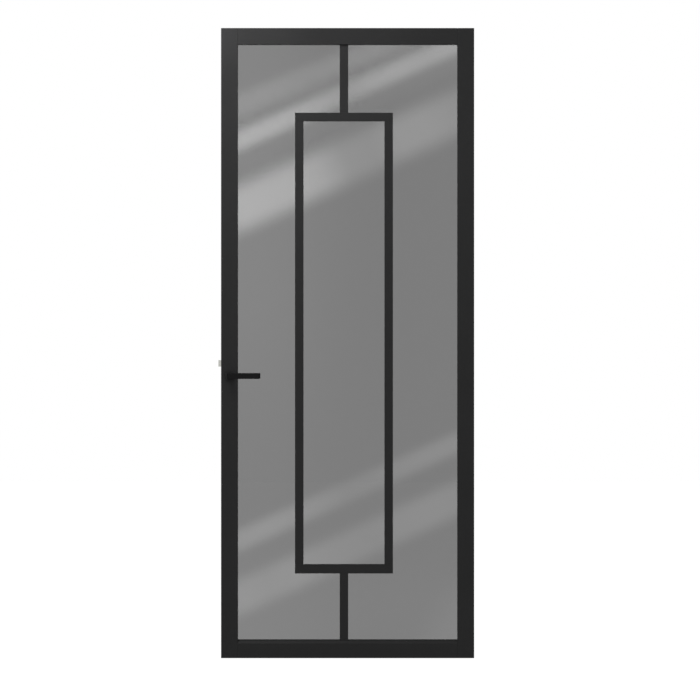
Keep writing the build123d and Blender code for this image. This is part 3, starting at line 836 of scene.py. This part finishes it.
@dataclass
class HingeSet:
    """Three butt hinges in the edge of the hinge stile."""

    levels: Names = ("lower", "middle", "upper")
    sides: Names = ("leaf", "jamb")
    bearings: Names = ("hinge_bearings",)
    coat: PowderCoat = PowderCoat(
        "hinge_coat", (0.009, 0.009, 0.0091), (0.012, 0.012, 0.0121), (0.34, 0.42)
    )
    pin_coat: PowderCoat = PowderCoat(
        "pin_coat", (0.009, 0.009, 0.009), (0.012, 0.012, 0.012), (0.30, 0.38)
    )
    steel: BrushedMetal = BrushedMetal("bearing_steel", (0.22, 0.22, 0.23), (0.30, 0.30, 0.31))
    spacing_y: float = 0.011
    spacing_z: float = 0.050
    head_radius: float = 0.004
    shank_radius: float = 0.00225
    screw_length: float = 0.030
    screw_seed: int = 7

    def build(self, coat: bpy.types.Material) -> None:
        """Make the screws of the leaf plates.

        Args:
            coat: Finish of the screws.
        """
        points = []
        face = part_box("hinge_screws")[1][0]
        for level in self.levels:
            low, high = (Vector(corner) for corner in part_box(f"{level}_hinge_leaf_plate"))
            middle_z = (low.z + high.z) / 2
            for y in (-self.spacing_y / 2, self.spacing_y / 2):
                for z in (-self.spacing_z / 2, self.spacing_z / 2):
                    points.append((face, y, middle_z + z))
        ScrewRow(
            name="hinge_cross_screws",
            node="hinge_screws",
            slot="hinge_black",
            outward=(1.0, 0.0, 0.0),
            points=points,
            head_radius=self.head_radius,
            shank_radius=self.shank_radius,
            length=self.screw_length,
            seed=self.screw_seed,
        ).build(coat)

    def dress(self, coat: bpy.types.Material) -> None:
        """Finish plates, pins and bearings.

        Args:
            coat: Finish of the plates.
        """
        cover(tuple(f"{level}_hinge_{side}_plate" for level in self.levels for side in self.sides), coat)
        cover(tuple(f"{level}_hinge_pin" for level in self.levels), self.pin_coat.material())
        cover(self.bearings, self.steel.material())


@dataclass(frozen=True)
class LightStrip:
    """Soft strip light, given by the band that the pane shows of it.

    Attributes:
        left: Left or lower end of the band's middle line on the pane, as x and z.
        right: Its other end.
        half_width: Half width of the band on the pane, without its faded edges.
        levels: Brightness at even steps from the first end to the other.
        plateau: Share of the strip's half width that has full brightness.
        tail: Length over which the strip fades out past each end.
    """

    left: Range
    right: Range
    half_width: float
    levels: tuple[float, ...]
    plateau: float = 0.0
    tail: float = 0.5


@dataclass(frozen=True)
class Lamp:
    """Square studio lamp.

    Attributes:
        name: Name of the lamp.
        place: Where it hangs.
        target: Point that it faces.
        size: Side of the square.
        power: Watts.
        mirrored: Whether glossy surfaces show it.
    """

    name: str
    place: Place
    target: Place
    size: float
    power: float
    mirrored: bool = False


@dataclass
class Studio:
    """Floor, white surround, strip lights, lamps and camera.

    Attributes:
        camera_place: Where the camera stands.
        lens: Its focal length in millimetres.
        sensor_width: Width of its sensor in millimetres.
        glass_y: Front face of the pane.
        strip_distance: How far the strip lights hang before the pane.
        strip_step: Distance from one strip's plane to the next.
        strip_widening: Half width of a strip with its faded edges, as a multiple of its band's.
        floor_half: Half of the floor's side.
        floor_drop: Depth of the floor under the leaf's foot.
        floor_tone: Grey of the floor where it lights the leaf.
        floor_shade: Grey that shows the leaf's shadow.
        floor_glow: Brightness of the floor where it is seen.
        ambient: Grey of the world where it lights the leaf.
        strips: Strip lights, from the pane's top to its foot, then two broad faint ones.
        lamps: The lamps.
    """

    camera_place: Place = (-0.4568, -12.0285, 0.9021)
    lens: float = 168.0
    sensor_width: float = 36.0
    glass_y: float = -0.0125
    strip_distance: float = 3.0
    strip_step: float = 0.01
    strip_widening: float = 1.6
    floor_half: float = 16.0
    floor_drop: float = 0.001
    floor_tone: float = 0.8
    floor_shade: float = 0.05
    floor_glow: float = 0.98
    ambient: float = 0.73
    strips: tuple[LightStrip, ...] = (
        LightStrip((-0.858, 1.806), (-0.365, 2.012), 0.046, (1.5, 1.45, 1.2, 1.25, 1.5)),
        LightStrip(
            (-0.858, 1.675), (-0.081, 2.021), 0.041, (4.3, 4.2, 4.0, 3.1, 2.3, 3.0, 3.2, 2.8, 3.1)
        ),
        LightStrip((-0.858, 1.675), (-0.081, 2.021), 0.100, (0.25, 0.35, 0.75)),
        LightStrip(
            (-0.858, 1.425), (-0.081, 1.771), 0.083, (4.8, 4.6, 4.5, 3.7, 1.9, 1.7, 2.4, 2.4, 2.0), 0.15
        ),
        LightStrip(
            (-0.858, 0.203), (-0.081, 0.552), 0.044, (1.9, 2.0, 1.75, 1.5, 1.0, 1.1, 1.3, 1.5, 1.5)
        ),
        LightStrip(
            (-0.858, -0.008), (-0.081, 0.346), 0.064, (1.75, 1.5, 1.75, 1.5, 1.3, 1.2, 1.4, 1.5, 1.4), 0.15
        ),
        LightStrip((-0.95, -0.4), (-0.95, 2.2), 0.42, (0.40, 0.40, 0.30, 0.50, 0.80, 0.85, 0.85, 0.80)),
        LightStrip((-0.10, -0.25), (0.02, -0.05), 0.13, (0.65, 0.45), tail=0.1),
    )
    lamps: tuple[Lamp, ...] = (
        Lamp("key", (-2.2, -2.7, 4.2), LEAF_MIDDLE, 1.6, 143.0, mirrored=True),
        Lamp("fill", (2.6, -2.4, 2.2), LEAF_MIDDLE, 1.6, 25.0),
        Lamp("back", (1.6, 3.4, 3.6), LEAF_MIDDLE, 1.8, 180.0),
        Lamp("corner", (-1.17, -0.50, 2.34), (-0.82, 0.0, 1.92), 0.3, 25.0),
    )

    def world(self) -> None:
        """Make the world white where it is seen, and a soft ambient light elsewhere."""
        world = bpy.data.worlds.new("surround")
        bpy.context.scene.world = world
        world.use_nodes = True
        sketch = NodeSketch(world.node_tree)
        white = sketch.plain("ShaderNodeBackground", WHITE)
        soft = sketch.plain("ShaderNodeBackground", self.ambient)
        out = sketch.add("ShaderNodeOutputWorld")
        sketch.link(sketch.where_seen(white, soft), out.inputs["Surface"])

    def floor(self) -> None:
        """Lay the pale floor under the leaf, which keeps a faint shadow."""
        shading = Shading("pale_floor")
        shade = shading.plain("ShaderNodeBsdfDiffuse", self.floor_shade)
        glow = shading.plain("ShaderNodeEmission", self.floor_glow)
        tone = shading.plain("ShaderNodeBsdfDiffuse", self.floor_tone)
        shading.show(shading.where_seen(shading.added(shade, glow), tone))
        half = self.floor_half
        level = cad_box[0][2] - self.floor_drop
        corners = [(-half, -half, level), (half, -half, level), (half, half, level), (-half, half, level)]
        piece = add_sheet("floor", corners, shading.material)
        piece.visible_glossy = False

    def _strip_glow(self, strip: LightStrip, length: float, name: str) -> bpy.types.Material:
        """Make a strip's soft-edged glow.

        Args:
            strip: The strip.
            length: Its length without the tails.
            name: Name of the material.

        Returns:
            Emission that changes along the strip and fades to its edges and ends.
        """
        shading = Shading(name)
        uv = shading.add("ShaderNodeUVMap", uv_map="strip")
        parts = shading.add("ShaderNodeSeparateXYZ")
        shading.link(uv.outputs[0], parts.inputs[0])
        along = shading.add("ShaderNodeValToRGB")
        stops = along.color_ramp.elements
        for stop in stops:
            stop.color = grey(0.0)
        peak = max(strip.levels)
        for number, level in enumerate(strip.levels):
            share = number / (len(strip.levels) - 1)
            stop = stops.new((strip.tail + share * length) / (length + 2 * strip.tail))
            stop.color = grey(level / peak)
        shading.link(parts.outputs["X"], along.inputs["Fac"])
        off = shading.add("ShaderNodeMath", operation="ABSOLUTE")
        shading.link(parts.outputs["Y"], off.inputs[0])
        across = shading.add("ShaderNodeMapRange", interpolation_type="SMOOTHERSTEP")
        across.inputs["From Min"].default_value = 1.0
        across.inputs["From Max"].default_value = strip.plateau
        shading.link(off.outputs[0], across.inputs["Value"])
        power = shading.add("ShaderNodeMath", operation="MULTIPLY")
        power.inputs[1].default_value = peak
        shading.link(across.outputs[0], power.inputs[0])
        glow = shading.add("ShaderNodeEmission")
        shading.link(along.outputs["Color"], glow.inputs["Color"])
        shading.link(power.outputs[0], glow.inputs["Strength"])
        clear = shading.add("ShaderNodeBsdfTransparent")
        shading.show(shading.added(glow.outputs[0], clear.outputs[0]))
        return shading.material

    def strip_lights(self) -> None:
        """Hang the strip lights where the pane mirrors them as bands."""
        eye = Vector(self.camera_place)
        # A strip lies on the lines from the eye's mirror image through its band on the pane.
        reach = 1 + self.strip_distance / (self.glass_y - eye.y)
        for number, strip in enumerate(self.strips):
            # Strips in one plane would lose part of their light to each other.
            depth = self.glass_y - self.strip_distance - number * self.strip_step
            start, end = (
                Vector((eye.x + (x - eye.x) * reach, depth, eye.z + (z - eye.z) * reach))
                for x, z in (strip.left, strip.right)
            )
            run = (end - start).normalized()
            rise = Vector((-run.z, 0.0, run.x)) * strip.half_width * reach * self.strip_widening
            tail = run * strip.tail
            corners = [start - tail - rise, end + tail - rise, end + tail + rise, start - tail + rise]
            glow = self._strip_glow(strip, (end - start).length, f"strip_glow_{number}")
            piece = add_sheet(f"strip_light_{number}", corners, glow)
            layer = piece.data.uv_layers.new(name="strip")
            for loop, place in zip(layer.data, ((0.0, -1.0), (1.0, -1.0), (1.0, 1.0), (0.0, 1.0))):
                loop.uv = place
            piece.visible_camera = False
            piece.visible_diffuse = False
            piece.visible_transmission = False
            piece.visible_shadow = False

    def hang(self, lamp: Lamp) -> None:
        """Hang a lamp, which doesn't show through the pane.

        Args:
            lamp: The lamp.
        """
        light = bpy.data.lights.new(lamp.name, "AREA")
        light.size = lamp.size
        light.energy = lamp.power
        piece = add_object(lamp.name, light)
        piece.location = lamp.place
        piece.visible_glossy = lamp.mirrored
        piece.visible_transmission = False
        aim = Vector(lamp.target) - Vector(lamp.place)
        piece.rotation_euler = aim.to_track_quat("-Z", "Y").to_euler()

    def camera(self) -> None:
        """Set the camera straight before the leaf."""
        data = bpy.data.cameras.new("camera")
        data.lens = self.lens
        data.sensor_width = self.sensor_width
        piece = add_object("camera", data)
        piece.location = self.camera_place
        piece.rotation_euler = (math.pi / 2, 0.0, 0.0)
        bpy.context.scene.camera = piece

    def build(self) -> None:
        """Set up the whole studio."""
        bpy.context.scene.view_settings.view_transform = "Standard"
        self.world()
        self.floor()
        self.strip_lights()
        for lamp in self.lamps:
            self.hang(lamp)
        self.camera()
        log.info("set the studio: %d strip lights, %d lamps", len(self.strips), len(self.lamps))


def main() -> None:
    """Build and dress the door, then set the studio round it."""
    logging.basicConfig(level=logging.INFO, format="%(name)s %(message)s")
    LeafFrame().dress()
    GlazedPane().dress()
    lock = LatchLock()
    nickel = lock.nickel.material()
    lock.build(nickel)
    lock.dress(nickel)
    LeverHandle().dress()
    hinges = HingeSet()
    hinge_coat = hinges.coat.material()
    hinges.build(hinge_coat)
    hinges.dress(hinge_coat)
    Studio().build()


if __name__ == "__main__":
    main()
